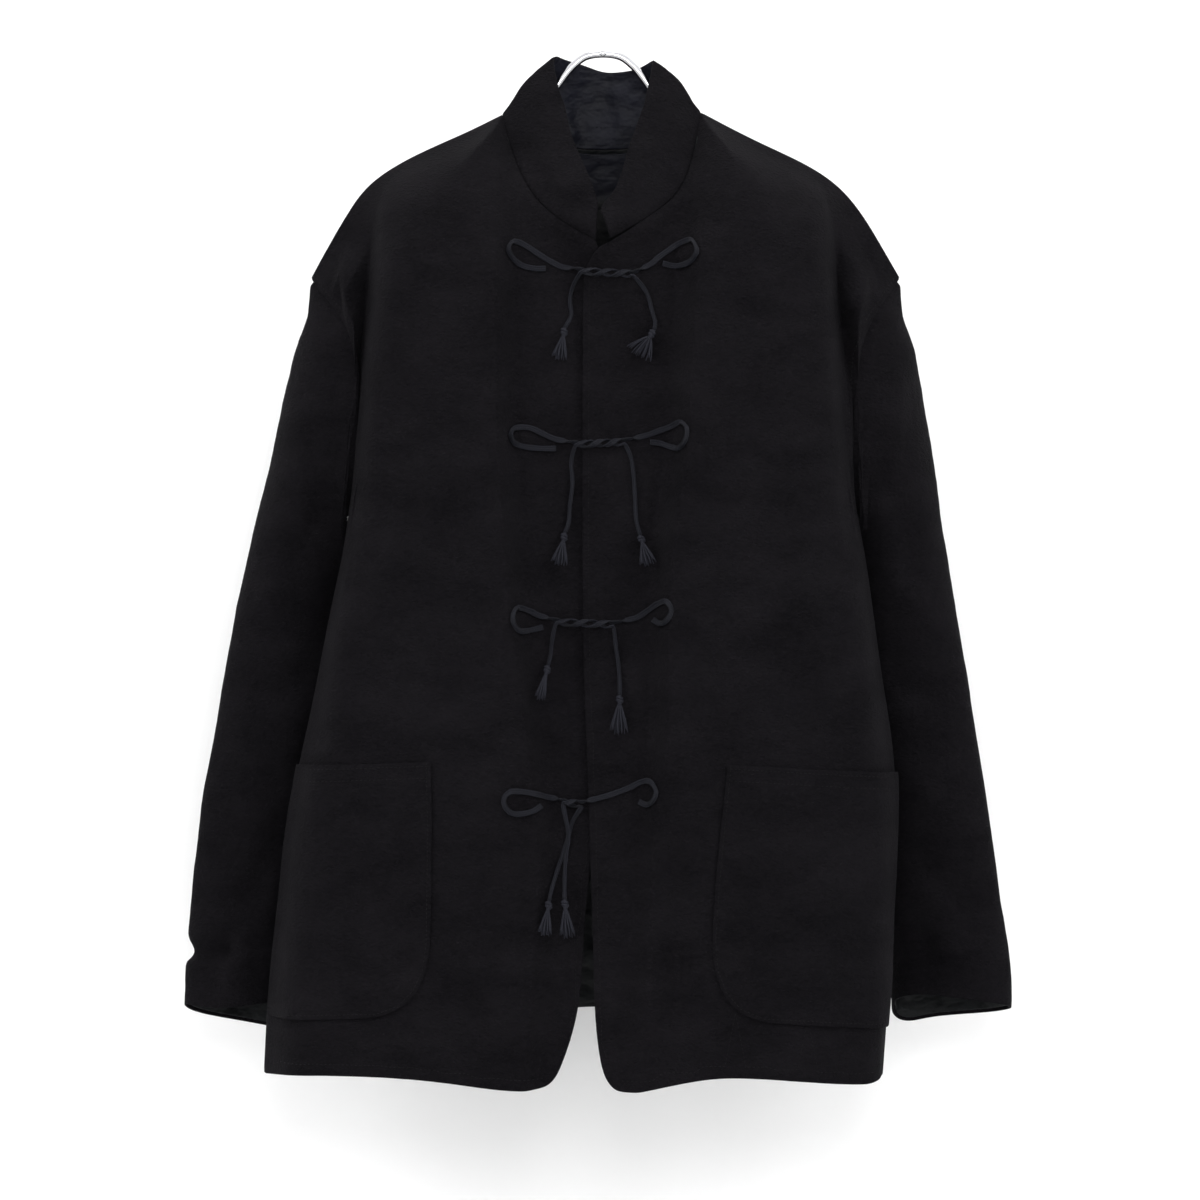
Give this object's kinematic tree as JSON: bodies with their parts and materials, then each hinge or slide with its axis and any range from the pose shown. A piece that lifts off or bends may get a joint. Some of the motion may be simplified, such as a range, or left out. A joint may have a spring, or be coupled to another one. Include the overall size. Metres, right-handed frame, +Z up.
{
  "type": "reversible jacket on a chrome rod hanger",
  "caption": "Loose stand-collar jacket with knotted cord ties, tassels and patch pockets, hanging on a chrome rod hanger.",
  "frame": {"origin": "underside of the hanger's arch at its middle, where a peg or rail holds it", "axes": "+Z up, front of the jacket towards -Y, the wearer's left at +X"},
  "size_m": [0.666, 0.1743, 0.8228],
  "materials": {
    "outer_cloth": "brushed near-black cloth",
    "satin_lining": "blue-black satin",
    "tie_braid": "flat braid",
    "chrome_rod": "polished chrome"
  },
  "bodies": {
    "root": {"back": "outer_cloth", "front_left": "outer_cloth", "front_right": "outer_cloth", "sleeve_left": "outer_cloth", "sleeve_right": "outer_cloth", "collar": "outer_cloth", "pocket_left": "outer_cloth", "pocket_right": "outer_cloth", "neck_lining": "satin_lining", "cuff_lining_left": "satin_lining", "cuff_lining_right": "satin_lining", "tie_left_1": "tie_braid", "tie_left_2": "tie_braid", "tie_left_3": "tie_braid", "tie_left_4": "tie_braid", "tie_right_1": "tie_braid", "tie_right_2": "tie_braid", "tie_right_3": "tie_braid", "tie_right_4": "tie_braid", "tassel_left_1": "tie_braid", "tassel_left_2": "tie_braid", "tassel_left_3": "tie_braid", "tassel_left_4": "tie_braid", "tassel_right_1": "tie_braid", "tassel_right_2": "tie_braid", "tassel_right_3": "tie_braid", "tassel_right_4": "tie_braid", "hanger": "chrome_rod", "hanger_rivet": "chrome_rod"}
  },
  "joints": []
}
